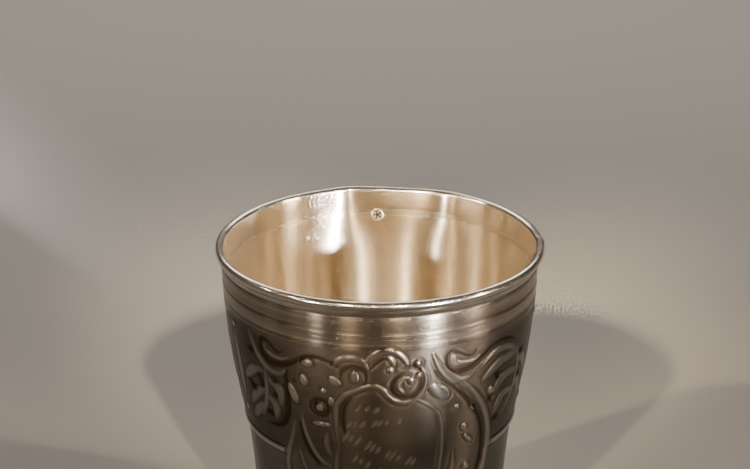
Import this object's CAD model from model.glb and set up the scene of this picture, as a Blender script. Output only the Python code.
"""Looks of a silver beaker: the raised and chased cup, its finishes, a floor, soft lights and the camera.

The cup is one closed mesh that keeps the solid's section. Its chasing is worked out as a relief over
the wall, in millimetres along the wall from the cartouche's middle and down from the lip.
"""
import logging
import math
from dataclasses import dataclass, field
from enum import Enum

import bpy
import numpy as np
from mathutils import Matrix, Vector


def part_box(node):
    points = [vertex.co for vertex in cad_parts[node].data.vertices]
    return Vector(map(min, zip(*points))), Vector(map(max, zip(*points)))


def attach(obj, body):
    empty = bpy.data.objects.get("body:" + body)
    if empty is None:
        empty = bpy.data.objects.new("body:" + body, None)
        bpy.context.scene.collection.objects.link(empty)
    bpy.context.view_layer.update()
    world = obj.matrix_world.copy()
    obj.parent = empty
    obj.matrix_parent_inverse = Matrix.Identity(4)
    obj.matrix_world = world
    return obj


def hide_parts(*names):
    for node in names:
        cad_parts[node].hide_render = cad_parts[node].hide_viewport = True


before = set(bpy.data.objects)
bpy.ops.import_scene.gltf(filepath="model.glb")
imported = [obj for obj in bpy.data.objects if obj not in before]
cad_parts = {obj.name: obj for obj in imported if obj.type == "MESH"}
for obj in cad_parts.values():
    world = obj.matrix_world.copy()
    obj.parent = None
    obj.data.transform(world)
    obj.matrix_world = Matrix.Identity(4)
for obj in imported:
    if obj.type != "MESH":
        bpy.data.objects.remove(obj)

LOG = logging.getLogger("beaker")
MM = 0.001
FULL_TURN = 2 * math.pi

Point = tuple[float, float]
Triple = tuple[float, float, float]
Faces = list[tuple[int, ...]]


class Zone(Enum):
    """Which finish a part of the sheet has; the value is its material's index."""

    BODY = 0
    NECK = 1
    LIP = 2
    INSIDE = 3


class Cut(Enum):
    """How a line of chasing is worked."""

    RAISED = "a rounded strand that stands out, with a fine furrow along both edges"
    LOBE = "a leaf's lobe, swelling and veined"
    FURROW = "a furrow sunk with a liner, dark with oxide"
    BRIGHT = "a shallow cut of the graver, left bright"


class Fineness(Enum):
    """Columns of the mesh around a zone of the cup."""

    PLAIN = 140
    TURNED = 280
    CHASED = 560


def eased(value: np.ndarray, low: float, high: float) -> np.ndarray:
    """A smooth step from 0 at one value to 1 at another."""
    t = np.clip((value - low) / (high - low), 0, 1)
    return t * t * (3 - 2 * t)


def wrapped(value: np.ndarray, period: float) -> np.ndarray:
    """A value that comes round again after a period, taken the shorter way from 0."""
    return (value + period / 2) % period - period / 2


def round_axis(angle: np.ndarray, radius: np.ndarray, height: np.ndarray) -> np.ndarray:
    """Points round the cup's axis from their angles, radii and heights."""
    return np.stack([radius * np.cos(angle), radius * np.sin(angle), height], 1)


def made_mesh(name: str, points: np.ndarray, faces: Faces, marks: dict[str, np.ndarray]) -> bpy.types.Object:
    """Makes a smooth mesh and puts it in the scene.

    Args:
        name: Name of the object.
        points: Its points, in millimetres.
        faces: Its faces.
        marks: Values kept at its points for the materials, by name.

    Returns:
        The object.
    """
    mesh = bpy.data.meshes.new(name)
    mesh.from_pydata((points * MM).tolist(), [], faces)
    mesh.polygons.foreach_set("use_smooth", [True] * len(faces))
    for mark, values in marks.items():
        stored = mesh.attributes.new(mark, "FLOAT", "POINT")
        stored.data.foreach_set("value", values.astype(np.float32))
    mesh.update()
    made = bpy.data.objects.new(name, mesh)
    bpy.context.scene.collection.objects.link(made)
    return made


def drawn_in(depth: np.ndarray, start: Triple, end: Triple) -> np.ndarray:
    """Radius on a smooth curve between two depths.

    Args:
        depth: Where to read the curve.
        start: Depth, radius and lean of the curve's upper end.
        end: Depth, radius and lean of its lower end.

    Returns:
        The radius at each depth.
    """
    length = end[0] - start[0]
    t = np.clip((depth - start[0]) / length, 0, 1)
    keep = (1 + 2 * t) * (1 - t) ** 2
    lean_start = t * (1 - t) ** 2 * length
    lean_end = t * t * (t - 1) * length
    return start[1] * keep + end[1] * (1 - keep) - start[2] * lean_start - end[2] * lean_end


@dataclass(frozen=True)
class CupSizes:
    """Sizes of the cup in millimetres, as the solid has them."""

    height: float
    lip_radius: float
    lip_bead: float = 2.0
    neck_inset: float = 1.25
    neck_depth: float = 3.4
    wall: float = 0.8
    floor_thickness: float = 1.4
    floor_corner: float = 7.0
    fillet_depth: float = 38.0
    fillet_height: float = 1.6
    fillet_rise: float = 0.3
    band_taper: float = 4.45
    band_slope: float = 0.19
    body_step: float = 0.3
    body_taper: float = 2.6
    body_slope: float = 0.12
    ankle_slope: float = 0.05
    foot_height: float = 2.6
    foot_rise: float = 0.9
    seat_chamfer: float = 0.5

    @classmethod
    def from_frame(cls, node: str) -> "CupSizes":
        """The sizes, with the height and the lip's radius taken from a solid."""
        low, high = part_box(node)
        return cls(height=(high.z - low.z) / MM, lip_radius=(high.x - low.x) / 2 / MM)

    @property
    def neck_radius(self) -> float:
        """Radius of the plain neck."""
        return self.lip_radius - self.neck_inset

    @property
    def body_depth(self) -> float:
        """Depth at which the fillet ends and the body starts."""
        return self.fillet_depth + self.fillet_height

    @property
    def ankle_depth(self) -> float:
        """Depth at which the body meets the foot."""
        return self.height - self.foot_height

    @property
    def ankle_radius(self) -> float:
        """Radius of the body where it meets the foot."""
        return self.neck_radius - self.band_taper - self.body_step - self.body_taper

    def outer_radius(self, depth: np.ndarray) -> np.ndarray:
        """Outside radius of the plain wall.

        Args:
            depth: Depths below the lip's top.

        Returns:
            The radius at each depth.
        """
        band_radius = self.neck_radius - self.band_taper
        band = drawn_in(depth, (self.neck_depth, self.neck_radius, 0.0),
                        (self.body_depth, band_radius, self.band_slope))
        body = drawn_in(depth, (self.body_depth, band_radius - self.body_step, self.body_slope),
                        (self.ankle_depth, self.ankle_radius, self.ankle_slope))
        return np.where(depth < self.body_depth, band, body)


@dataclass(frozen=True)
class Dent:
    """A soft dent in the back of the lip with metal pushed out beside it, and a small knock at the right."""

    middles: tuple[float, ...] = (82.0, 103.0, 61.0, 1.0)
    spreads: tuple[float, ...] = (9.0, 4.5, 5.0, 2.4)
    pushes: tuple[float, ...] = (0.75, -0.5, -0.25, -0.22)
    fades: tuple[float, ...] = (9.0, 9.0, 9.0, 3.0)

    def push(self, angle: np.ndarray, depth: np.ndarray) -> np.ndarray:
        """How far the wall is pushed towards the axis.

        Args:
            angle: Angles in degrees from +X, from -180 to 180.
            depth: Depths below the lip's top.

        Returns:
            The push at each place, in millimetres.
        """
        total = np.zeros(np.broadcast(angle, depth).shape)
        for middle, spread, push, fade in zip(self.middles, self.spreads, self.pushes, self.fades):
            total += push * np.exp(-0.5 * ((angle - middle) / spread) ** 2 - (depth / fade) ** 2)
        return total


@dataclass
class Relief:
    """The chasing's height over the places of a mesh, built up tool by tool."""

    places: np.ndarray
    girth: float
    raised: np.ndarray = field(init=False)
    covered: np.ndarray = field(init=False)
    edges: np.ndarray = field(init=False)
    sunk: np.ndarray = field(init=False)
    oxide: np.ndarray = field(init=False)
    shine: np.ndarray = field(init=False)

    # Depth of a recess that is dark all over, and height of a form that is rubbed bright all over.
    FULL_OXIDE = 0.14
    FULL_RISE = 0.26
    # How soon a form hides what lies under it, and how many spreads of its furrow are worked.
    COVER_SLOPE = 1.6
    EDGE_REACH = 4

    def __post_init__(self) -> None:
        """Starts from the plain wall."""
        for name in ("raised", "covered", "edges", "sunk", "oxide", "shine"):
            setattr(self, name, np.zeros(len(self.places)))

    def near(self, low: np.ndarray, high: np.ndarray) -> np.ndarray:
        """Indices of the places in a box that may run over the wall's back.

        Args:
            low: Least distance along the wall and least depth.
            high: Greatest distance along the wall and greatest depth.

        Returns:
            The indices of the places inside.
        """
        middle, reach = (low + high) / 2, (high - low) / 2
        beside = np.abs(wrapped(self.places[:, 0] - middle[0], self.girth)) < reach[0]
        level = np.abs(self.places[:, 1] - middle[1]) < reach[1]
        return np.nonzero(beside & level)[0]

    def away(self, near: np.ndarray, point: np.ndarray) -> np.ndarray:
        """Steps from a point to some of the places.

        Args:
            near: Indices of the places.
            point: The point.

        Returns:
            Distance along the wall and depth from the point to each place.
        """
        away = self.places[near] - point
        away[:, 0] = wrapped(away[:, 0], self.girth)
        return away

    def lift(self, near: np.ndarray, body: np.ndarray, out: np.ndarray, edge: np.ndarray) -> None:
        """Raises a form with a furrow round it.

        Args:
            near: Indices of the places that it touches.
            body: The form's height there.
            out: How far out they are, from 0 at its middle to 1 at its rim.
            edge: Depth of the furrow round it.
        """
        cover = np.clip(self.COVER_SLOPE * (1 - out), 0, 1)
        self.raised[near] = np.maximum(self.raised[near], body)
        self.covered[near] = np.maximum(self.covered[near], cover)
        self.edges[near] = np.maximum(self.edges[near], edge)

    def sink(self, near: np.ndarray, depth: np.ndarray, oxide: float = 1.0) -> None:
        """Cuts into whatever stands there; oxide says from 0 to 1 how dark the cut turned."""
        self.sunk[near] = np.maximum(self.sunk[near], depth)
        self.oxide[near] = np.maximum(self.oxide[near], depth * oxide)

    def engrave(self, near: np.ndarray, depth: np.ndarray, shine: np.ndarray) -> None:
        """Cuts a fresh line; shine says from 0 to 1 how bright its metal is."""
        self.sunk[near] = np.maximum(self.sunk[near], depth)
        self.shine[near] = np.maximum(self.shine[near], shine)

    def height(self) -> np.ndarray:
        """Height above the plain wall."""
        return self.raised - self.edges * (1 - self.covered) - self.sunk

    def recess(self) -> np.ndarray:
        """From 0 to 1, how dark each place is with oxide."""
        return np.clip((self.edges * (1 - self.covered) + self.oxide) / self.FULL_OXIDE, 0, 1)

    def rubbed(self) -> np.ndarray:
        """From 0 to 1, how bright each place is, rubbed where it stands up or freshly cut."""
        return np.clip(np.maximum(self.raised / self.FULL_RISE, self.shine), 0, 1)


@dataclass(frozen=True)
class ChasedLine:
    """A line of chasing along a smooth curve on the wall."""

    points: tuple[Point, ...]
    width: float
    size: float
    cut: Cut = Cut.RAISED
    shift: Point = (0.0, 0.0)

    FACET = 0.35
    # Least share of its fullness, and share of its length at each end over which a line thins no further.
    TIP = 0.3
    TIP_LENGTH = 0.02
    # How steep a furrow's sides are, and share of a strand's half width that its side takes.
    STEEPNESS = 1.25
    SHOULDER = 0.8
    EDGE_DEPTH = 0.1
    EDGE_SPREAD = 0.36
    VEIN_DEPTH = 0.08
    VEIN_OXIDE = 0.7

    def curve(self) -> np.ndarray:
        """The smooth curve through the points.

        Returns:
            A fine run of points along it.
        """
        given = np.array(self.points) + np.array(self.shift)
        padded = np.vstack([given[:1], given, given[-1:]])
        run = []
        for a, b, c, d in zip(padded[:-3], padded[1:-2], padded[2:-1], padded[3:]):
            steps = max(2, round(float(np.hypot(*(c - b))) / self.FACET))
            t = np.linspace(0, 1, steps, endpoint=False)[:, None]
            lead, trail = (c - a) / 2, (d - b) / 2
            cubic, square = 2 * b - 2 * c + lead + trail, 3 * c - 3 * b - 2 * lead - trail
            run.append(cubic * t ** 3 + square * t ** 2 + lead * t + b)
        return np.vstack([*run, given[-1:]])

    def nearest(self, place: np.ndarray, run: np.ndarray) -> tuple[np.ndarray, np.ndarray]:
        """Where each place lies beside the curve.

        Args:
            place: The places.
            run: The curve's points.

        Returns:
            Each place's distance from the curve, and the share of the curve's length where it is nearest.
        """
        steps = np.diff(run, axis=0)
        lengths = np.hypot(*steps.T)
        marks = np.concatenate([[0], np.cumsum(lengths)])
        distance, share = np.full(len(place), np.inf), np.zeros(len(place))
        for start, step, length, mark in zip(run, steps, lengths, marks):
            away = place - start
            t = np.clip(away @ step / (length * length), 0, 1)
            reach = np.hypot(*(away - t[:, None] * step).T)
            closer = reach < distance
            distance[closer] = reach[closer]
            share[closer] = (mark + t[closer] * length) / marks[-1]
        return distance, share

    def swell(self, share: np.ndarray) -> np.ndarray:
        """How full the line is along its length, from thin tips to its middle."""
        inner = np.clip(share, self.TIP_LENGTH, 1 - self.TIP_LENGTH)
        return self.TIP + (1 - self.TIP) * np.sqrt(np.sin(math.pi * inner))

    def press(self, relief: Relief) -> None:
        """Works the line into a relief.

        Args:
            relief: The relief to work.
        """
        run = self.curve()
        margin = self.width / 2 + relief.EDGE_REACH * self.EDGE_SPREAD
        near = relief.near(run.min(0) - margin, run.max(0) + margin)
        distance, share = self.nearest(relief.away(near, run[0]) + run[0], run)
        swell = self.swell(share)
        half = swell * self.width / 2
        across = distance / half
        groove = swell * np.exp(-(across * self.STEEPNESS) ** 2)
        if self.cut is Cut.FURROW:
            relief.sink(near, self.size * groove)
        elif self.cut is Cut.BRIGHT:
            relief.engrave(near, self.size * groove, groove)
        else:
            body = self.size * swell * eased(1 - across, 0.0, self.SHOULDER)
            edge = self.EDGE_DEPTH * swell * np.exp(-((distance - half) / self.EDGE_SPREAD) ** 2)
            relief.lift(near, body, across, edge)
        if self.cut is Cut.LOBE:
            vein = self.VEIN_DEPTH * swell * np.exp(-(distance / self.EDGE_SPREAD) ** 2)
            relief.sink(near, vein, self.VEIN_OXIDE)


@dataclass(frozen=True)
class Oval:
    """A smooth oval on the wall: a swelling with a furrow round it, or a pit where its rise is below 0."""

    along: float
    depth: float
    length: float
    width: float
    lean: float = 0.0
    rise: float = 0.28
    dish: float = 0.0

    EDGE_DEPTH = 0.11
    EDGE_SPREAD = 0.26
    # The dome's power: below 1 it is full towards its rim. A dish is a ring sunk into it.
    DOME = 0.7
    DISH_PLACE = 0.62
    DISH_SPREAD = 0.22

    def press(self, relief: Relief) -> None:
        """Works the oval into a relief.

        Args:
            relief: The relief to work.
        """
        middle = np.array([self.along, self.depth])
        margin = max(self.length, self.width) + relief.EDGE_REACH * self.EDGE_SPREAD
        near = relief.near(middle - margin, middle + margin)
        away = relief.away(near, middle)
        turn = math.radians(self.lean)
        x = (away[:, 0] * math.cos(turn) + away[:, 1] * math.sin(turn)) / (self.length / 2)
        y = (away[:, 1] * math.cos(turn) - away[:, 0] * math.sin(turn)) / (self.width / 2)
        out = np.hypot(x, y)
        if self.rise < 0:
            relief.sink(near, -self.rise * np.exp(-(out ** 2)))
            return
        half = math.sqrt(self.length * self.width) / 2
        body = self.rise * np.clip(1 - out ** 2, 0, 1) ** self.DOME
        edge = self.EDGE_DEPTH * np.exp(-((out - 1) * half / self.EDGE_SPREAD) ** 2)
        relief.lift(near, body, out, edge)
        if self.dish:
            relief.sink(near, self.dish * np.exp(-((out - self.DISH_PLACE) / self.DISH_SPREAD) ** 2))


Form = ChasedLine | Oval


@dataclass(frozen=True)
class Chaser:
    """Makes the forms of one motif in its usual widths, from points seen from the motif's eye."""

    strand_width: float
    strand_rise: float
    furrow_width: float
    furrow_depth: float
    lobe_width: float = 2.9
    eye: Point = (0.0, 0.0)

    def strand(self, *points: Point, width: float = 0.0, rise: float = 0.0) -> ChasedLine:
        """A raised strand along a curve."""
        width, rise = width or self.strand_width, rise or self.strand_rise
        return ChasedLine(points, width, rise, Cut.RAISED, self.eye)

    def lobe(self, *points: Point) -> ChasedLine:
        """A leaf's lobe along a curve."""
        return ChasedLine(points, self.lobe_width, self.strand_rise, Cut.LOBE, self.eye)

    def furrow(self, *points: Point, width: float = 0.0) -> ChasedLine:
        """A dark furrow along a curve."""
        return ChasedLine(points, width or self.furrow_width, self.furrow_depth, Cut.FURROW, self.eye)

    def ovals(self, *marks: tuple[float, ...], rise: float = Oval.rise) -> list[Oval]:
        """Ovals of one height, each from its place, length, width and lean."""
        return [Oval(self.eye[0] + x, self.eye[1] + y, *shape, rise=rise) for x, y, *shape in marks]


@dataclass(frozen=True)
class Scroll(Chaser):
    """One scroll of the band: a hook with a crest and a rib, the leaves that hang from them, and a husk."""

    strand_width: float = 2.0
    strand_rise: float = 0.14
    furrow_width: float = 1.5
    furrow_depth: float = 0.24
    pit_depth: float = 0.28

    def hook(self) -> list[Form]:
        """The hook that runs on as a crest, the strand in its curl and the rib under it.

        Returns:
            The furrow of the hook and both strands.
        """
        return [
            self.furrow((2.6, -1.1), (1.7, -0.3), (0.5, -0.4), (-0.8, -1.3), (-2, -2), (-3.1, -2),
                        (-3.8, -1.1), (-3.7, 0.3), (-2.9, 1.7), (-1.3, 2.7), (0.9, 2.8), (2.9, 2.1),
                        (4.6, 1.1), (6.4, -0.2), (8.5, -1), (10.7, -1.1), (12.9, -0.4), (15, 0.9)),
            self.strand((3.6, 0.3), (2.1, 1.1), (0.4, 1.1), (-1.3, 0.8), (-2.3, -0.1), (-2.4, -1), width=1.3),
            self.strand((-7, -2.3), (-6, 0), (-4.8, 2.3), (-2.9, 4.1), (-0.8, 4.9), (1.2, 4.8), (2.5, 3.8)),
        ]

    def crest_leaf(self) -> list[Form]:
        """The leaf that hangs from the crest's end, right of the hook.

        Returns:
            Its strands, lobes, pits and bead.
        """
        return [
            self.strand((4.8, 3), (6.8, 1.6), (9, 0.9), (11.2, 1), (13.4, 1.9), (15.4, 3.4)),
            self.strand((15.6, 2.4), (17.4, 8), (16.8, 13.5), (14, 18.4)),
            self.lobe((15.6, 4), (10.5, 3.9), (5.6, 6.4)),
            self.lobe((17, 8.6), (12.4, 8.2), (8.3, 11.4)),
            self.lobe((16.6, 13.4), (13, 12.8), (10.6, 16.6)),
            self.lobe((17, 6), (20.5, 7.5), (22.6, 11)),
            self.lobe((17, 11.5), (20, 13), (21.4, 16.2)),
            *self.ovals((10.1, 7.2, 2.6, 1.6, 20), (8.6, 12, 1.7, 1.5, 0), (11.6, 18, 2, 1.5, 0),
                        (18.6, 4.6, 1.8, 1.2, 0), (18.9, 10.4, 1.6, 1.2, 0), rise=-self.pit_depth),
            *self.ovals((8.2, 10.1, 2.5, 1.8, 40)),
        ]

    def rib_leaf(self) -> list[Form]:
        """The leaf that hangs from the rib, left of the hook, with the furrow that bounds it.

        Returns:
            Its strand, lobes, pits and furrow.
        """
        return [
            self.strand((-3.1, 4.9), (-3.2, 9), (-4.2, 13.5), (-6.4, 17.5), width=1.7),
            self.lobe((-4, 5.8), (-7, 6.6), (-10.6, 9.6)),
            self.lobe((-4, 10.4), (-6.8, 12.2), (-10.2, 15.6)),
            self.lobe((-4.6, 14), (-7.2, 16.2), (-10.2, 19)),
            self.lobe((-2.6, 7.2), (0.4, 8.8), (0.5, 12.4)),
            self.lobe((-3.2, 11.6), (-1.1, 13.4), (-1.8, 16.4)),
            *self.ovals((-5, 8.4, 3.2, 1.1, 75), (-0.6, 7, 1.6, 1.2, 0), (-0.9, 10.6, 1.4, 1, 0),
                        (-3.2, 15.8, 1.9, 1.4, 0), (-8.4, 11, 2.8, 1.6, 25), (-7.2, 2, 1.9, 1.4, 0),
                        rise=-self.pit_depth),
            self.furrow((3.2, 3.4), (2.4, 6), (2.4, 9), (2.4, 12), (1.6, 15), (0.2, 17.2), (-2, 18.2),
                        (-4.6, 18.7), width=2.0),
        ]

    def husk(self) -> list[Form]:
        """The narrow husk between two leaves, with a bead over and under it."""
        beads = self.ovals((26, 18.6, 2, 2), (26.2, -1.2, 1.7, 1.7))
        return [self.lobe((26, 1.2), (26.5, 8), (26, 15.6)), *beads]


@dataclass(frozen=True)
class ScrollBand:
    """The running scroll round the wall."""

    girth: float
    count: int = 5
    start: float = -22.5
    eye_depth: float = 14.5

    def forms(self) -> list[Form]:
        """All forms of the band; the two scrolls beside the cartouche give way to it.

        Returns:
            The forms.
        """
        forms: list[Form] = []
        for index in range(self.count):
            scroll = Scroll(eye=(self.start + index * self.girth / self.count, self.eye_depth))
            forms += scroll.hook()
            if index != 1:
                forms += scroll.rib_leaf()
            if index != 0:
                forms += scroll.crest_leaf() + scroll.husk()
        return forms


@dataclass(frozen=True)
class Cartouche(Chaser):
    """The cartouche on the front: field frame with a volute, outer frames, hoods, flutes and swellings."""

    strand_width: float = 1.6
    strand_rise: float = 0.15
    furrow_width: float = 1.4
    furrow_depth: float = 0.22
    tip: float = field(kw_only=True)

    def frames(self) -> list[Form]:
        """The frame of the field, with its volute, and the outer frames.

        Returns:
            Their strands and furrows.
        """
        tip = self.tip
        return [
            self.strand((-8.8, 34.4), (-9.1, 28.5), (-8.9, 24.6), (-7.9, 22.5), (-6.4, 21), (-4.3, 19.9),
                        (-2.6, 19.1), (-0.8, 18.9), (0.6, 19.8), (1.7, 21.2), (3.1, 22.4), (4.7, 22.9),
                        (6.4, 22.6), (8, 21.3), (9, 19.2), (9, 16.9), (8, 15.2)),
            self.furrow((-7.4, 31), (-7.7, 27), (-7.3, 24.2), (-5.6, 22)),
            self.furrow((5.3, 15.6), (3.4, 16.4), (2.2, 18.2), (2.4, 20.2), (3.8, 21.4), (5.8, 21.4),
                        (7.4, 20), (7.9, 17.9), (7.2, 16.2)),
            self.strand((4.6, 20.4), (3.7, 19.3), (3.7, 18), (4.6, 17.1), (5.8, 17.2), width=1.2),
            self.strand((7.2, 22.3), (9.6, 23.8), (11.4, 25.4), (12.5, 27.2), (13.4, 31.5), (13.6, 40),
                        (11.4, 47), (5, tip - 6), (1.2, tip - 5), width=1.1, rise=0.11),
            self.strand((-8.9, 34), (-9.7, 41), (-8, 47), (-4, tip - 6.4), (0.6, tip - 5.2)),
            self.strand((-18.8, 30), (-20.2, 34.5), (-22, 38.5), (-22.9, 42.5), (-21.4, 48), (-14, tip - 3),
                        (1, tip), width=2.2),
            self.strand((12.4, 15.4), (15.6, 18.6), (19.8, 22.6), (23.6, 27.6), (26.4, 33.6), (27.8, 40),
                        (25.8, 48), (16.4, tip - 3), (3, tip), width=2.2),
            self.furrow((11.2, 16.2), (13.3, 18.7), (16.3, 21.9), (19.3, 25), (22, 28.2), (24, 32),
                        (25.2, 36), (25.6, 41), (23.4, 48), (16, tip - 5), (6, tip - 2.4), width=1.7),
        ]

    def hoods(self) -> list[Form]:
        """The hood over the left of the field, the arch above it and what they shelter.

        Returns:
            Their strands, furrows and ovals.
        """
        return [
            self.strand((-9.2, 15.2), (-8.4, 13.6), (-6.8, 12.7), (-4.8, 12.6), (-3.2, 13.2), (-2.4, 14.8)),
            self.furrow((-7.7, 17.6), (-7.4, 15.9), (-6.2, 14.9), (-4.7, 14.6), (-3.2, 15.3), (-2.6, 17),
                        (-3, 18.4)),
            Oval(-4.9, 16.9, 3.2, 1.9, 90, rise=0.18),
            self.strand((-2.6, 13.4), (-1.2, 11.7), (0.8, 10.8), (2.6, 11), (4.2, 12.2), (5.3, 13.9)),
            self.furrow((-1.8, 15), (-0.8, 13.6), (0.6, 12.6), (1.4, 12.7)),
            self.furrow((3.9, 14.8), (5.9, 14.6), (8.2, 15.7)),
            Oval(2.2, 12.9, 2.6, 1.2, 60),
            Oval(2, 15.1, 1.5, 1.3),
            Oval(7.4, 13.9, 2, 2, dish=0.2),
        ]

    def flutes(self) -> list[Form]:
        """The flutes down the left of the cartouche.

        Returns:
            Their strands and furrows.
        """
        return [
            self.strand((-16.8, 27.5), (-16.4, 32), (-15, 36), (-13.1, 38.6), (-10.9, 39.6), width=1.4),
            self.furrow((-17.7, 30), (-17, 34), (-15.5, 37.6), (-13.4, 40.2)),
            self.strand((-18.6, 36.6), (-17.8, 40.5), (-15.6, 44.5), (-11.6, 48.4), width=1.4),
            self.strand((-11.4, 31.4), (-11.6, 34), (-11, 36.6), width=1.8, rise=0.12),
            self.strand((16.6, 37), (16.9, 41), (15.6, 45.4), (11.6, 49.4), width=1.4),
        ]

    def swellings(self) -> list[Form]:
        """The bosses, beads and leaf tips.

        Returns:
            The ovals.
        """
        return [
            Oval(-12.3, 25, 4.6, 4.6, dish=0.42),
            *self.ovals(
                (-12.3, 29.1, 4.8, 1.4, 0), (-14.6, 14.9, 2.8, 2.2, 0), (-15.6, 19.2, 3, 2, 75),
                (-18.4, 23, 5.4, 2, 68), (-8.9, 18.3, 3.2, 2.2, 40), (-11.4, 20.9, 1.6, 1.4, 0),
                (-9.9, 23.2, 2.4, 1.4, 90), (6.1, 17.8, 1.6, 1.6, 0), (7.5, 16.8, 1.4, 1.4, 0),
                (12.1, 21.2, 6.2, 3.2, 36), (16.4, 25.8, 1.8, 1.2, 30), (20.7, 27.2, 2.2, 1.2, 45),
                (18.9, 31.4, 2.3, 1.9, 30), (20.5, 34.7, 4.2, 1.4, 40), (21.1, 41.9, 3.0, 1.9, 20)),
            *self.ovals((-18, 20, 1.1, 0.9), rise=-0.2),
        ]

    def forms(self) -> list[Form]:
        """All forms of the cartouche."""
        return self.frames() + self.hoods() + self.flutes() + self.swellings()


@dataclass(frozen=True)
class EngravedRow:
    """A row of shallow slanting strokes in the cartouche's field, in small groups."""

    start: Point
    end: Point
    count: int
    tall: float
    stroke_width: float = 0.95
    stroke_depth: float = 0.12

    # Every stroke that ends a group is left out.
    GROUP = 4
    TALLS = (1.0, 0.7, 0.85, 0.55, 0.95, 0.75, 0.65)
    LEANS = (0.3, 0.22, 0.36, 0.26, 0.33)
    BEND = 0.12

    def forms(self) -> list[Form]:
        """The row's strokes.

        Returns:
            The strokes, from left to right.
        """
        strokes: list[Form] = []
        for index in range(self.count):
            if index % self.GROUP == self.GROUP - 1:
                continue
            share = index / max(1, self.count - 1)
            x = self.start[0] + share * (self.end[0] - self.start[0])
            y = self.start[1] + share * (self.end[1] - self.start[1])
            tall = self.tall * self.TALLS[index % len(self.TALLS)]
            lean = self.LEANS[index % len(self.LEANS)] * tall
            bend = self.BEND * (-1) ** index
            path = ((x - lean, y + 0.5 * tall), (x + bend, y), (x + lean, y - 0.5 * tall))
            strokes.append(ChasedLine(path, self.stroke_width, self.stroke_depth, Cut.BRIGHT))
        return strokes


@dataclass(frozen=True)
class Ornament:
    """Everything chased on the wall.

    Its top is where the band starts, and its sides are where the fillet stops for the cartouche.
    """

    sizes: CupSizes
    cartouche_drop: float = 20.0
    top: float = 10.6
    side_left: float = -22.6
    side_right: float = 28.0
    ground_tone: float = 0.42
    ground_fade: float = 2.2

    @property
    def radius(self) -> float:
        """Radius at which distances along the wall are measured."""
        middle = (ScrollBand.eye_depth + self.sizes.fillet_depth) / 2
        return float(self.sizes.outer_radius(np.array(middle)))

    @property
    def girth(self) -> float:
        """Length of the wall once round."""
        return FULL_TURN * self.radius

    @property
    def tip(self) -> float:
        """Depth of the cartouche's lowest point."""
        return self.sizes.fillet_depth + self.cartouche_drop

    def rows(self) -> list[EngravedRow]:
        """The rows of strokes in the field.

        Returns:
            The rows, from top to bottom.
        """
        return [
            EngravedRow((-4.4, 24), (-0.6, 24.4), 3, 1.6),
            EngravedRow((-6.3, 28.2), (4.2, 27.2), 9, 1.8),
            EngravedRow((-7, 31.2), (7.4, 37.9), 14, 2.6),
            EngravedRow((-5.4, 36.6), (2.6, 41.2), 7, 1.8),
            EngravedRow((-3.8, 43.6), (5.4, 44.4), 8, 1.8),
        ]

    def pressed(self, places: np.ndarray) -> Relief:
        """The whole ornament worked over places of the wall.

        Args:
            places: Distance along the wall and depth of each place.

        Returns:
            The finished relief.
        """
        relief = Relief(places, self.girth)
        forms = ScrollBand(self.girth).forms() + Cartouche(tip=self.tip).forms()
        for row in self.rows():
            forms += row.forms()
        for form in forms:
            form.press(relief)
        return relief

    def tone(self, depth: np.ndarray) -> np.ndarray:
        """How dark the ground of the band is at each depth.

        Args:
            depth: Depths below the lip's top.

        Returns:
            From 0 to 1, how dark it is there.
        """
        end = self.sizes.fillet_depth
        shown = self.ground_tone * eased(depth, self.top, self.top + self.ground_fade)
        return shown * (1 - eased(depth, end - 1, end))


@dataclass(frozen=True)
class Ring:
    """One ring of the cup's mesh, in millimetres."""

    depth: float
    radius: float
    columns: Fineness
    zone: Zone


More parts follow.
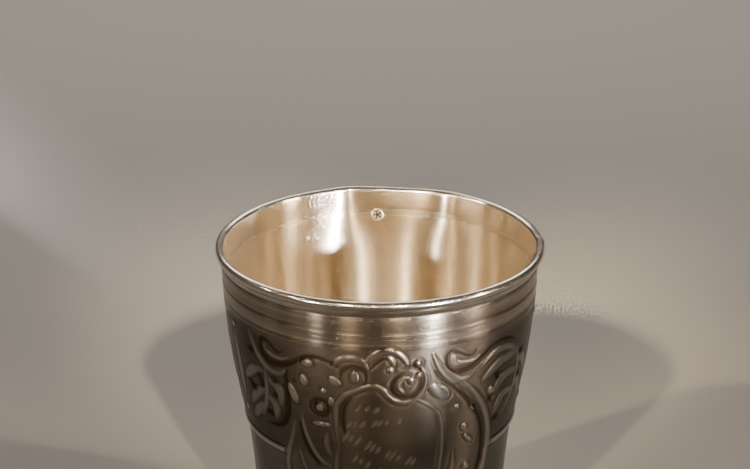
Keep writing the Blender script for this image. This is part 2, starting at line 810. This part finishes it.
@dataclass(frozen=True)
class Section:
    """The cup's section: underside, foot, body, fillet, band, neck, lip, inside and floor."""

    sizes: CupSizes
    ornament: Ornament

    # Arcs of the section: first and last angle, and number of steps.
    FOOT_ARC = ((-50, 84), 8)
    LIP_ARC = ((-62, 172), 13)
    CORNER_ARC = ((0, -90), 9)
    SEAT_SHARES = (0.2, 0.4, 0.6, 0.8, 0.92, 0.97, 1.0)
    FLOOR_SHARES = (0.8, 0.6, 0.4, 0.2)
    # Number of rings where the wall is plain, or step from ring to ring where it is worked.
    LOW_BODY_RINGS = 9
    BODY_RINGS = 38
    INSIDE_RINGS = 12
    BAND_STEP = 0.28
    NECK_STEP = 0.16
    INSIDE_STEP = 0.6
    # Depths at which one run of rings ends and the next starts.
    BAND_TOP = 9.3
    NECK_FOOT = 9.2
    TURNED_FOOT = 14.0
    PLAIN_TOP = 16.0
    CORNER_GAP = 1.0
    STEP_GAP = 0.1
    # How far below the cartouche's tip the plain rings end and the finer ones start.
    LOW_BODY_TOP = 1.5
    CHASED_FOOT = 1.0

    def arc(self, middle: Point, size: Point, turn: tuple[float, float], steps: int, columns: Fineness,
            zone: Zone) -> list[Ring]:
        """Rings along an arc of the section.

        Args:
            middle: Depth and radius of the arc's centre.
            size: Half the arc's height and half its width.
            turn: Its first and last angle in degrees, from straight outwards towards the lip.
            steps: Number of steps.
            columns: Fineness around.
            zone: Zone of the sheet.

        Returns:
            The rings.
        """
        turns = np.radians(np.linspace(turn[0], turn[1], steps + 1))
        return [Ring(middle[0] - size[0] * math.sin(t), middle[1] + size[1] * math.cos(t), columns, zone)
                for t in turns]

    def wall(self, depths: np.ndarray, columns: Fineness, zone: Zone, inset: float = 0.0) -> list[Ring]:
        """Rings down or up the wall.

        Args:
            depths: Their depths.
            columns: Fineness around.
            zone: Zone of the sheet; above the ornament the body's finish gives way to the neck's.
            inset: How far they stand back from the outside.

        Returns:
            The rings.
        """
        radii = self.sizes.outer_radius(depths) - inset
        above = Zone.NECK if zone is Zone.BODY else zone
        return [Ring(float(d), float(r), columns, above if d < self.ornament.top else zone)
                for d, r in zip(depths, radii)]

    def rings(self) -> list[Ring]:
        """All rings of the section.

        Returns:
            The rings, from the underside over the lip to the floor.
        """
        s, tip = self.sizes, self.ornament.tip
        plain, turned, chased = Fineness
        body, neck, lip, inside = Zone
        seat = s.ankle_radius + s.foot_rise - 2 * s.seat_chamfer
        foot_half = (s.foot_height / 2, s.foot_rise)
        foot_middle = (s.height - s.foot_height / 2, s.ankle_radius)
        bead = s.lip_bead / 2
        floor_depth = s.height - s.floor_thickness
        corner_depth = floor_depth - s.floor_corner
        corner_radius = float(s.outer_radius(np.array(corner_depth))) - s.wall - s.floor_corner
        corner_middle, corner_half = (corner_depth, corner_radius), (s.floor_corner, s.floor_corner)
        return [
            *(Ring(s.height, seat * share, plain, body) for share in self.SEAT_SHARES),
            *self.arc(foot_middle, foot_half, *self.FOOT_ARC, plain, body),
            *self.wall(np.linspace(s.ankle_depth, tip + self.LOW_BODY_TOP, self.LOW_BODY_RINGS), plain, body),
            *self.wall(np.linspace(tip + self.CHASED_FOOT, s.body_depth + self.STEP_GAP, self.BODY_RINGS),
                       turned, body),
            *self.wall(np.arange(s.body_depth, self.BAND_TOP, -self.BAND_STEP), chased, body),
            *self.wall(np.arange(self.NECK_FOOT, s.neck_depth, -self.NECK_STEP), turned, neck),
            *self.arc((bead, s.lip_radius - bead), (bead, bead), *self.LIP_ARC, turned, lip),
            *self.wall(np.arange(s.neck_depth, self.TURNED_FOOT, self.INSIDE_STEP), turned, inside, s.wall),
            *self.wall(np.linspace(self.PLAIN_TOP, corner_depth - self.CORNER_GAP, self.INSIDE_RINGS),
                       plain, inside, s.wall),
            *self.arc(corner_middle, corner_half, *self.CORNER_ARC, plain, inside),
            *(Ring(floor_depth, corner_radius * share, plain, inside) for share in self.FLOOR_SHARES),
        ]


@dataclass(frozen=True)
class SheetWork:
    """What is worked into the plain sheet: chasing, turned lines, fillet, dent and unevenness."""

    sizes: CupSizes
    ornament: Ornament
    dent: Dent
    wobble: float = 0.015
    turning: float = 0.008

    # Turned lines: depth, cut and spread of each. The ones inside are stained darkest round one angle.
    OUTSIDE_LINES = ((3.5, 0.07, 0.4), (5.8, 0.03, 0.25), (7.1, 0.07, 0.5), (8.1, 0.035, 0.22),
                     (9.3, 0.02, 0.3))
    INSIDE_LINES = ((5.1, 0.06, 0.25), (6.1, 0.09, 0.55), (11.4, 0.035, 0.3))
    # Angle in degrees and spread of the stain, and the share of it that is left elsewhere.
    INSIDE_STAIN = (74.0, 17.0, 0.55)
    # Oxide for each millimetre of a line's cut.
    LINE_OXIDE = 9.0
    # Height over the band in which the neck darkens, and how dark it gets.
    NECK_FADE = (2.4, 0.6)
    # Length along the wall over which the fillet starts beside the cartouche.
    SIDE_FADE = 0.8
    # Depth at which the chasing starts, and how far below the cartouche's tip it ends.
    CHASED_FROM = 9.0
    CHASED_TO = 1.4
    # Depths at which the inside's lines and the unevenness start, and least radius of a standing wall.
    LINES_FROM = 2.0
    WAVES_FROM = 1.5
    STANDING_RADIUS = 20.0
    # Fillet: the bead's power, and its furrows' depth, place and spread, the last two in half heights.
    FILLET_DOME = 0.6
    FILLET_FURROW = (0.16, 1.2, 0.3)
    # Rings left by turning: seed, number and least and greatest period.
    TURNED_RINGS = (11, 8, 0.45, 1.6)
    # Waves of the sheet: seed, number, waves in a turn and radians in a millimetre of depth.
    SHEET_WAVES = (7, 14, (3, 20), (0.1, 0.6))

    def surface(self, turn: np.ndarray, depth: np.ndarray, radius: np.ndarray,
                outside: np.ndarray) -> tuple[np.ndarray, np.ndarray, np.ndarray]:
        """Everything worked into the plain section: chasing, turned lines, dent and wobble.

        Args:
            turn: Radians from the front of each point.
            depth: Its depth.
            radius: Its plain radius.
            outside: Whether it is on the outside.

        Returns:
            How far each point moves out, how dark it is with oxide, and how far it is rubbed bright.
        """
        s, ornament = self.sizes, self.ornament
        along = wrapped(turn, FULL_TURN) * ornament.radius
        degrees = np.degrees(wrapped(turn - math.pi / 2, FULL_TURN))
        lift, recess, rubbed = np.zeros(len(turn)), np.zeros(len(turn)), np.zeros(len(turn))
        chased = np.nonzero(outside & (depth > self.CHASED_FROM) & (depth < ornament.tip + self.CHASED_TO))[0]
        relief = ornament.pressed(np.stack([along[chased], depth[chased]], 1))
        lift[chased] += relief.height()
        rubbed[chased] = relief.rubbed()
        recess[chased] = np.maximum(relief.recess(), ornament.tone(depth[chased]) * (1 - relief.rubbed()))
        fade_height, fade_tone = self.NECK_FADE
        fade = fade_tone * eased(depth, ornament.top - fade_height, ornament.top)
        recess = np.maximum(recess, outside * (depth < ornament.top) * fade)
        past_sides = np.maximum(ornament.side_left - along, along - ornament.side_right)
        beside = outside * np.clip(past_sides / self.SIDE_FADE, 0, 1)
        hanging = outside * (depth >= s.body_depth) * (1 - beside) * s.body_step
        lift += hanging * (1 - eased(depth, s.body_depth, s.body_depth + ornament.cartouche_drop))
        bead, furrow = self.fillet(depth)
        lift += (bead - furrow) * beside
        recess = np.maximum(recess, beside * np.clip(furrow / relief.FULL_OXIDE, 0, 1))
        rubbed = np.maximum(rubbed, beside * np.clip(bead / relief.FULL_RISE, 0, 1))
        middle, spread, least = self.INSIDE_STAIN
        stain = least + (1 - least) * np.exp(-((degrees - middle) / spread) ** 4)
        inside = ~outside & (depth > self.LINES_FROM)
        for lines, here in ((self.OUTSIDE_LINES, outside), (self.INSIDE_LINES, inside * stain)):
            for middle, cut, spread in lines:
                line = here * cut * np.exp(-((depth - middle) / spread) ** 2)
                lift += np.where(outside, -line, line)
                recess = np.maximum(recess, self.LINE_OXIDE * line)
        standing = radius > self.STANDING_RADIUS
        wavy = standing & (depth > self.WAVES_FROM) & (depth < s.ankle_depth)
        lift -= np.where(standing, self.dent.push(degrees, depth), 0)
        lift += np.where(wavy, self.waves(turn, depth), 0)
        lift += self.turned(depth) * (outside & (depth > s.neck_depth) & (depth < ornament.top))
        return lift, recess, rubbed

    def fillet(self, depth: np.ndarray) -> tuple[np.ndarray, np.ndarray]:
        """The fillet under the band: a rounded bead with a furrow above it and one below.

        Args:
            depth: Depths on the outside.

        Returns:
            How far it stands out, and how deep its furrows are.
        """
        s = self.sizes
        across = (depth - s.fillet_depth - s.fillet_height / 2) / (s.fillet_height / 2)
        bead = s.fillet_rise * np.clip(1 - across ** 2, 0, 1) ** self.FILLET_DOME
        furrow_depth, place, spread = self.FILLET_FURROW
        return bead, furrow_depth * np.exp(-((np.abs(across) - place) / spread) ** 2)

    def turned(self, depth: np.ndarray) -> np.ndarray:
        """Fine rings left on the neck by turning.

        Args:
            depth: Depths on the neck.

        Returns:
            How far the rings stand out.
        """
        seed, count, least, greatest = self.TURNED_RINGS
        draw = np.random.default_rng(seed)
        total = np.zeros(len(depth))
        for period in draw.uniform(least, greatest, count):
            total += np.sin(FULL_TURN * depth / period + draw.uniform(0, FULL_TURN))
        return self.turning * total / math.sqrt(count / 2)

    def waves(self, turn: np.ndarray, depth: np.ndarray) -> np.ndarray:
        """Slow unevenness of hand-raised sheet.

        Args:
            turn: Radians from the front.
            depth: Depths below the lip.

        Returns:
            How far the sheet stands out.
        """
        seed, count, around_range, down_range = self.SHEET_WAVES
        draw = np.random.default_rng(seed)
        total = np.zeros(len(turn))
        for _ in range(count):
            around, down = int(draw.integers(*around_range)), draw.uniform(*down_range)
            total += np.sin(around * turn + down * depth + draw.uniform(0, FULL_TURN)) / math.sqrt(count)
        return self.wobble * total


@dataclass(frozen=True)
class Cup:
    """The cup as one closed sheet."""

    sizes: CupSizes
    ornament: Ornament
    dent: Dent
    front_crowding: float = 0.5

    def angles(self, columns: Fineness) -> np.ndarray:
        """Angles of a ring's points in radians from the front, crowded towards the front."""
        share = np.arange(columns.value) / columns.value
        return FULL_TURN * share - self.front_crowding * np.sin(FULL_TURN * share)

    def build(self) -> bpy.types.Object:
        """Makes the cup's mesh.

        Returns:
            The object.
        """
        rings = Section(self.sizes, self.ornament).rings()
        counts = [ring.columns.value for ring in rings]
        turn = np.concatenate([self.angles(ring.columns) for ring in rings])
        depth = np.repeat([ring.depth for ring in rings], counts)
        radius = np.repeat([ring.radius for ring in rings], counts)
        outside = np.repeat([ring.zone in (Zone.BODY, Zone.NECK) for ring in rings], counts)
        work = SheetWork(self.sizes, self.ornament, self.dent)
        lift, recess, rubbed = work.surface(turn, depth, radius, outside)
        points = round_axis(turn - math.pi / 2, radius + lift, self.sizes.height - depth)
        poles = np.array([[0, 0, 0], [0, 0, self.sizes.floor_thickness]])
        faces, zones = self.faces(rings, np.cumsum([0, *counts]))
        marks = {"recess": np.append(recess, [0, 0]), "rubbed": np.append(rubbed, [0, 0])}
        cup = made_mesh("silver_cup", np.vstack([points, poles]), faces, marks)
        cup.data.polygons.foreach_set("material_index", zones)
        return cup

    def faces(self, rings: list[Ring], starts: np.ndarray) -> tuple[Faces, list[int]]:
        """Faces between the rings, and the fans that close both ends.

        Args:
            rings: The rings in order.
            starts: Index of each ring's first point, and of the point after the last ring.

        Returns:
            The faces, outwards, and the material index of each.
        """
        faces: Faces = []
        zones: list[int] = []
        for k, (low, high) in enumerate(zip(rings[:-1], rings[1:])):
            made = self.between(low.columns.value, high.columns.value, int(starts[k]), int(starts[k + 1]))
            faces += made
            zones += [high.zone.value] * len(made)
        last = int(starts[-1])
        for ring, start, pole in ((rings[0], int(starts[0]), last), (rings[-1], int(starts[-2]), last + 1)):
            count = ring.columns.value
            fan = [(pole, start + (j + 1) % count, start + j) for j in range(count)]
            faces += fan if pole == last else [face[::-1] for face in fan]
            zones += [ring.zone.value] * count
        return faces, zones

    def between(self, low: int, high: int, first: int, second: int) -> Faces:
        """Faces between two rings, of which one may have twice the other's points.

        Args:
            low: Number of points of the first ring.
            high: Number of points of the second ring.
            first: Index of the first ring's first point.
            second: Index of the second ring's first point.

        Returns:
            The faces, outwards.
        """
        if low == high:
            return [(first + j, first + (j + 1) % low, second + (j + 1) % low, second + j)
                    for j in range(low)]
        count = min(low, high)
        coarse, fine = (first, second) if low < high else (second, first)
        faces: Faces = []
        for j in range(count):
            a, b = coarse + j, coarse + (j + 1) % count
            p, m, q = fine + 2 * j, fine + 2 * j + 1, fine + (2 * j + 2) % (2 * count)
            faces += [(a, m, p), (a, b, m), (b, q, m)]
        return faces if low < high else [face[::-1] for face in faces]


@dataclass(frozen=True)
class Punch:
    """A round mark struck inside the back of the lip: a ring with plain dots, and no maker's sign."""

    sizes: CupSizes
    dent: Dent
    angle: float = 91.0
    depth: float = 6.6
    radius: float = 1.6
    ring_place: float = 0.78
    ring_width: float = 0.1
    dot_place: float = 0.44
    dot_size: float = 0.15
    dot_count: int = 5
    ring_rise: float = 0.08
    ground_rise: float = 0.03
    rim_drop: float = 0.06

    COLUMNS = 60
    ROWS = 22
    # Share of the radius at which the dark ground starts to fade.
    DARK_TO = 0.85

    def struck(self, out: np.ndarray, turn: np.ndarray) -> np.ndarray:
        """From 0 to 1, how far the ring and its dots stand up.

        Args:
            out: Share of the mark's radius.
            turn: Radians round the mark.

        Returns:
            The share at each place.
        """
        ring = np.exp(-((out - self.ring_place) / self.ring_width) ** 2)
        nearest = wrapped(turn, FULL_TURN / self.dot_count)
        gap = np.hypot(out * np.cos(nearest) - self.dot_place, out * np.sin(nearest))
        return np.maximum(ring, np.exp(-(gap / self.dot_size) ** 2))

    def rise(self, out: np.ndarray, turn: np.ndarray) -> np.ndarray:
        """Height above the wall, below 0 at the rim so that the mark runs into the wall."""
        return self.ground_rise - self.rim_drop * out ** 8 + self.ring_rise * self.struck(out, turn)

    def build(self) -> bpy.types.Object:
        """Makes the mark's mesh, a cap over the inner wall.

        Returns:
            The object.
        """
        columns, rows = self.COLUMNS, self.ROWS
        out = np.concatenate([[0], np.repeat(np.linspace(1 / rows, 1, rows), columns)])
        turn = np.concatenate([[0], np.tile(np.linspace(0, FULL_TURN, columns, endpoint=False), rows)])
        depth = self.depth - self.radius * out * np.sin(turn)
        inner = self.sizes.outer_radius(depth) - self.sizes.wall
        angle = np.radians(self.angle) - self.radius * out * np.cos(turn) / inner
        r = inner - self.dent.push(np.degrees(angle), depth) - self.rise(out, turn)
        faces: Faces = [(0, 1 + j, 1 + (j + 1) % columns) for j in range(columns)]
        for k in range(rows - 1):
            low, high = 1 + k * columns, 1 + (k + 1) * columns
            faces += [(low + j, high + j, high + (j + 1) % columns, low + (j + 1) % columns)
                      for j in range(columns)]
        dark = (1 - self.struck(out, turn)) * (1 - eased(out, self.DARK_TO, 1.0))
        points = round_axis(angle, r, self.sizes.height - depth)
        return made_mesh("punch_mark", points, faces, {"recess": dark})


@dataclass
class Nodes:
    """Short ways to build a material's node tree."""

    tree: bpy.types.NodeTree

    def feed(self, target: bpy.types.NodeSocket, source: object) -> None:
        """Sets a socket from another socket or from a plain value.

        Args:
            target: The socket to set.
            source: What it gets.
        """
        if isinstance(source, bpy.types.NodeSocket):
            self.tree.links.new(source, target)
        else:
            target.default_value = source

    def made(self, kind: str, inputs: dict[int | str, object], output: int | str = 0,
             **settings: object) -> bpy.types.NodeSocket:
        """Adds a node.

        Args:
            kind: The node's type.
            inputs: What its sockets get, by their place or name.
            output: Place or name of the output that is wanted.
            settings: The node's own settings.

        Returns:
            That output.
        """
        node = self.tree.nodes.new(kind)
        for name, value in settings.items():
            setattr(node, name, value)
        for key, source in inputs.items():
            self.feed(node.inputs[key], source)
        return node.outputs[output]

    def mark(self, name: str) -> bpy.types.NodeSocket:
        """A value kept at the mesh's points."""
        return self.made("ShaderNodeAttribute", {}, "Fac", attribute_name=name)

    def math(self, operation: str, *inputs: object) -> bpy.types.NodeSocket:
        """The result of a math node."""
        return self.made("ShaderNodeMath", dict(enumerate(inputs)), operation=operation)

    def ramp(self, value: object, low: float, high: float, start: float = 0.0,
             end: float = 1.0) -> bpy.types.NodeSocket:
        """A value carried smoothly from one range to another."""
        inputs = dict(enumerate((value, low, high, start, end)))
        return self.made("ShaderNodeMapRange", inputs, interpolation_type="SMOOTHSTEP")

    def blend(self, share: object, first: object, second: object) -> bpy.types.NodeSocket:
        """A mix of two colours."""
        return self.made("ShaderNodeMix", {0: share, 6: first, 7: second}, 2, data_type="RGBA")

    def mapped(self, place: bpy.types.NodeSocket, scale: Triple,
               turn: Triple = (0.0, 0.0, 0.0)) -> bpy.types.NodeSocket:
        """A place turned and then scaled."""
        turned = self.made("ShaderNodeMapping", {"Vector": place, "Rotation": turn}, vector_type="TEXTURE")
        return self.made("ShaderNodeVectorMath", {0: turned, 1: scale}, operation="MULTIPLY")

    def noise(self, place: bpy.types.NodeSocket, scale: float, detail: float) -> bpy.types.NodeSocket:
        """A noise value read at a place."""
        return self.made("ShaderNodeTexNoise", {"Vector": place, "Scale": scale, "Detail": detail})


@dataclass(frozen=True)
class SilverFinish:
    """Worn silver, brushed round by turning and polishing, with dark oxide down in its furrows."""

    name: str
    metal: Triple
    tarnish: Triple
    tarnish_share: float = 0.5
    roughness: float = 0.3
    anisotropic: float = 0.7
    brushing: float = 0.4
    scratches: float = 0.3
    bands: float = 0.25
    rubbing: float = 0.52
    bright: Triple = (0.86, 0.82, 0.76)
    oxide: Triple = (0.05, 0.036, 0.027)

    # How the object's space is stretched along the rings and the scratches, and how the scratches lean.
    ALONG_RINGS = (0.012, 0.012, 1.0)
    ALONG_SCRATCHES = (1.0, 1.0, 0.03)
    SCRATCH_LEAN = (0.5, 0.6, 0.3)
    # Scale and detail of each noise.
    FINE_RINGS = (4200.0, 3.0)
    BROAD_RINGS = (900.0, 2.0)
    SCRATCHES = (1500.0, 1.0)
    CLOUDS = (60.0, 5.0)
    # Between which values of its noise or mark each effect sets in.
    SCRATCH_WIDTH = 0.02
    CLOUD_EDGE = (0.42, 0.66)
    BAND_EDGE = (0.35, 0.65)
    OXIDE_EDGE = (0.05, 0.95)
    OXIDE_SHARE = 0.95
    # What the rings, the oxide and the rubbing add to the roughness or take off it.
    RING_ROUGHNESS = 0.1
    OXIDE_ROUGHNESS = 0.22
    RUBBED_ROUGHNESS = 0.08
    BUMP_HEIGHT = 0.00003
    BRUSHED_ROUND = 0.25

    def material(self) -> bpy.types.Material:
        """Builds the material.

        Returns:
            The material.
        """
        material = bpy.data.materials.new(self.name)
        material.use_nodes = True
        nodes = Nodes(material.node_tree)
        shader = material.node_tree.nodes["Principled BSDF"].inputs
        place = nodes.made("ShaderNodeTexCoord", {}, "Object")
        ringed = nodes.mapped(place, self.ALONG_RINGS)
        fine_rings = nodes.noise(ringed, *self.FINE_RINGS)
        broad_rings = nodes.noise(ringed, *self.BROAD_RINGS)
        scratched = nodes.noise(nodes.mapped(place, self.ALONG_SCRATCHES, self.SCRATCH_LEAN), *self.SCRATCHES)
        off_middle = nodes.math("ABSOLUTE", nodes.math("SUBTRACT", scratched, 0.5))
        scratch = nodes.ramp(off_middle, 0.0, self.SCRATCH_WIDTH, 1.0, 0.0)
        cloudy = nodes.ramp(nodes.noise(place, *self.CLOUDS), *self.CLOUD_EDGE, 0.0, self.tarnish_share)
        banded = nodes.math("MULTIPLY", nodes.ramp(broad_rings, *self.BAND_EDGE), self.bands)
        rubbed = nodes.mark("rubbed")
        oxidised = nodes.ramp(nodes.mark("recess"), *self.OXIDE_EDGE, 0.0, self.OXIDE_SHARE)
        stained = nodes.blend(nodes.math("MAXIMUM", cloudy, banded), (*self.metal, 1), (*self.tarnish, 1))
        polished = nodes.blend(nodes.math("MULTIPLY", rubbed, self.rubbing), stained, (*self.bright, 1))
        nodes.feed(shader["Base Color"], nodes.blend(oxidised, polished, (*self.oxide, 1)))
        rough = nodes.math("ADD", self.roughness - self.RING_ROUGHNESS / 2,
                           nodes.math("MULTIPLY", fine_rings, self.RING_ROUGHNESS))
        rough = nodes.math("ADD", rough, nodes.math("MULTIPLY", oxidised, self.OXIDE_ROUGHNESS))
        smoother = nodes.math("MULTIPLY", rubbed, self.RUBBED_ROUGHNESS)
        nodes.feed(shader["Roughness"], nodes.math("SUBTRACT", rough, smoother))
        height = nodes.math("ADD", nodes.math("MULTIPLY", fine_rings, self.brushing),
                            nodes.math("MULTIPLY", scratch, -self.scratches))
        bump = {"Strength": 1.0, "Distance": self.BUMP_HEIGHT, "Height": height}
        nodes.feed(shader["Normal"], nodes.made("ShaderNodeBump", bump))
        tangent = nodes.made("ShaderNodeTangent", {}, direction_type="RADIAL", axis="Z")
        nodes.feed(shader["Tangent"], tangent)
        shader["Metallic"].default_value = 1.0
        shader["Anisotropic"].default_value = self.anisotropic
        shader["Anisotropic Rotation"].default_value = self.BRUSHED_ROUND
        return material


def cup_finishes() -> list[SilverFinish]:
    """The finishes of the cup in the order of its zones.

    Returns:
        The finishes.
    """
    return [
        SilverFinish("silver_body", metal=(0.235, 0.203, 0.172), tarnish=(0.13, 0.108, 0.088),
                     tarnish_share=0.7, roughness=0.33, anisotropic=0.9),
        SilverFinish("silver_neck", metal=(0.61, 0.53, 0.45), tarnish=(0.30, 0.25, 0.20),
                     tarnish_share=0.45, roughness=0.22, anisotropic=1.0, brushing=1.0, bands=0.8),
        SilverFinish("silver_lip", metal=(0.78, 0.73, 0.66), tarnish=(0.54, 0.47, 0.39),
                     tarnish_share=0.45, roughness=0.16, anisotropic=0.3, brushing=0.2),
        SilverFinish("silver_inside", metal=(0.85, 0.755, 0.61), tarnish=(0.63, 0.505, 0.35),
                     roughness=0.22, anisotropic=1.0, brushing=0.3, bands=0.2, scratches=0.12),
    ]


@dataclass(frozen=True)
class Floor:
    """A plain pale floor, measured in millimetres."""

    radius: float = 2500.0
    corners: int = 64
    colour: Triple = (0.62, 0.60, 0.57)
    roughness: float = 0.7

    def build(self) -> bpy.types.Object:
        """Makes the floor.

        Returns:
            The object.
        """
        turns = np.linspace(0, FULL_TURN, self.corners, endpoint=False)
        points = round_axis(turns, self.radius, np.zeros(self.corners))
        floor = made_mesh("floor", points, [tuple(range(self.corners))], {})
        material = bpy.data.materials.new("pale_floor")
        material.use_nodes = True
        shader = material.node_tree.nodes["Principled BSDF"]
        shader.inputs["Base Color"].default_value = (*self.colour, 1)
        shader.inputs["Roughness"].default_value = self.roughness
        floor.data.materials.append(material)
        return floor


@dataclass(frozen=True)
class SoftBox:
    """A soft rectangular light, in metres and watts, that faces the cup's lip or a place beside it.

    Its bearing is in degrees from the front to the right, and its rise in degrees over the level.
    """

    name: str
    bearing: float
    rise: float
    size: Point
    power: float
    colour: Triple
    aside: Triple
    distance: float = 0.9
    spread: float = 8.0

    def build(self, lip: Vector) -> bpy.types.Object:
        """Makes the light.

        Args:
            lip: Middle of the cup's lip.

        Returns:
            The light.
        """
        light = bpy.data.lights.new(self.name, "AREA")
        light.shape = "RECTANGLE"
        light.size, light.size_y = self.size
        light.energy = self.power
        light.color = self.colour
        light.spread = math.radians(self.spread)
        box = bpy.data.objects.new(self.name, light)
        bearing, rise = math.radians(self.bearing), math.radians(self.rise)
        flat = math.cos(rise)
        away = Vector((math.sin(bearing) * flat, -math.cos(bearing) * flat, math.sin(rise)))
        box.location = lip + Vector(self.aside) + away * self.distance
        box.rotation_euler = (-away).to_track_quat("-Z", "Y").to_euler()
        bpy.context.scene.collection.objects.link(box)
        return box


def soft_boxes() -> list[SoftBox]:
    """The studio's lights: low strips for the outside, small warm ones for the inside, a box behind.

    Returns:
        The lights.
    """
    over_lip = (0.0, 0.0, 0.045)
    warm_strips = (
        (14.0, 0.02, 0.026, (1.0, 0.80, 0.54)),
        (-22.0, 0.02, 0.026, (1.0, 0.78, 0.50)),
        (-62.0, 0.03, 0.009, (1.0, 0.74, 0.44)),
        (-88.0, 0.03, 0.005, (1.0, 0.78, 0.52)),
        (78.0, 0.03, 0.005, (1.0, 0.78, 0.52)),
    )
    return [
        SoftBox("key_strip", 38.0, 10.0, (0.09, 0.05), 0.48, (1.0, 0.96, 0.92), over_lip),
        SoftBox("right_strip", 70.0, 10.0, (0.20, 0.12), 0.045, (1.0, 0.84, 0.66), (0.0, 0.0, 0.02),
                spread=14.0),
        SoftBox("left_strip", -44.0, 12.0, (0.04, 0.05), 0.036, (1.0, 0.90, 0.76), over_lip),
        *(SoftBox(f"warm_strip_{number}", bearing, 34.0, (width, 0.05), power, colour, (0.0, 0.02, 0.0))
          for number, (bearing, width, power, colour) in enumerate(warm_strips, 1)),
        SoftBox("back_box", 180.0, 44.0, (1.0, 0.30), 3.6, (1.0, 0.93, 0.85), (0.0, 0.15, 0.0),
                distance=0.8, spread=180.0),
    ]


@dataclass(frozen=True)
class PhotoCamera:
    """The camera, at the photograph's viewing angle. Pixel values are in a frame of 750 by 469."""

    lens: float = 85.0
    sensor: float = 36.0
    distance: float = 0.3773
    elevation: float = 21.4
    clip_start: float = 0.01
    frame_width: int = 750
    frame_middle: Point = (375.0, 234.5)
    lip_middle: Point = (379.6, 243.7)

    def build(self, lip: Vector) -> bpy.types.Object:
        """Makes the camera.

        Args:
            lip: Middle of the lip's widest circle, in metres.

        Returns:
            The camera.
        """
        data = bpy.data.cameras.new("camera")
        data.lens, data.sensor_width = self.lens, self.sensor
        data.clip_start = self.clip_start
        camera = bpy.data.objects.new("camera", data)
        turn = math.radians(self.elevation)
        back = Vector((0.0, -math.cos(turn), math.sin(turn)))
        pixel = self.sensor / self.lens / self.frame_width
        aside = math.atan((self.lip_middle[0] - self.frame_middle[0]) * pixel)
        down = math.atan((self.lip_middle[1] - self.frame_middle[1]) * pixel)
        level = Matrix.Rotation(math.radians(90) - turn, 4, "X")
        camera.matrix_world = (Matrix.Translation(lip + back * self.distance) @ level
                               @ Matrix.Rotation(down, 4, "X") @ Matrix.Rotation(aside, 4, "Y"))
        bpy.context.scene.collection.objects.link(camera)
        bpy.context.scene.camera = camera
        return camera


@dataclass(frozen=True)
class Surroundings:
    """An even, warm light all round."""

    colour: Triple = (1.0, 0.84, 0.70)
    strength: float = 0.1

    def build(self) -> bpy.types.World:
        """Makes the world.

        Returns:
            The world.
        """
        world = bpy.data.worlds.new("studio")
        world.use_nodes = True
        background = world.node_tree.nodes["Background"]
        background.inputs["Color"].default_value = (*self.colour, 1)
        background.inputs["Strength"].default_value = self.strength
        bpy.context.scene.world = world
        return world


def log_piece(piece: bpy.types.Object) -> None:
    """Reports a piece with its number of triangles."""
    LOG.info("%s: %d triangles", piece.name, sum(face.loop_total - 2 for face in piece.data.polygons))


def main() -> None:
    """Builds the cup, its surroundings and the camera."""
    logging.basicConfig(level=logging.INFO, format="%(name)s: %(message)s")
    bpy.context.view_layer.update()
    sizes, dent = CupSizes.from_frame("beaker"), Dent()
    lip = Vector((0.0, 0.0, (sizes.height - sizes.lip_bead / 2) * MM))

    PhotoCamera().build(lip)
    cup = Cup(sizes, Ornament(sizes), dent).build()
    for finish in cup_finishes():
        cup.data.materials.append(finish.material())
    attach(cup, "root")
    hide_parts("beaker")
    log_piece(cup)

    mark = Punch(sizes, dent).build()
    mark.data.materials.append(cup.data.materials[Zone.INSIDE.value])
    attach(mark, "root")
    log_piece(mark)

    floor = Floor().build()
    LOG.info("floor: %.1f m across", floor.dimensions.x)

    for box in soft_boxes():
        box.build(lip)
        LOG.info("%s: %.3f W", box.name, box.power)
    Surroundings().build()


if __name__ == "__main__":
    main()
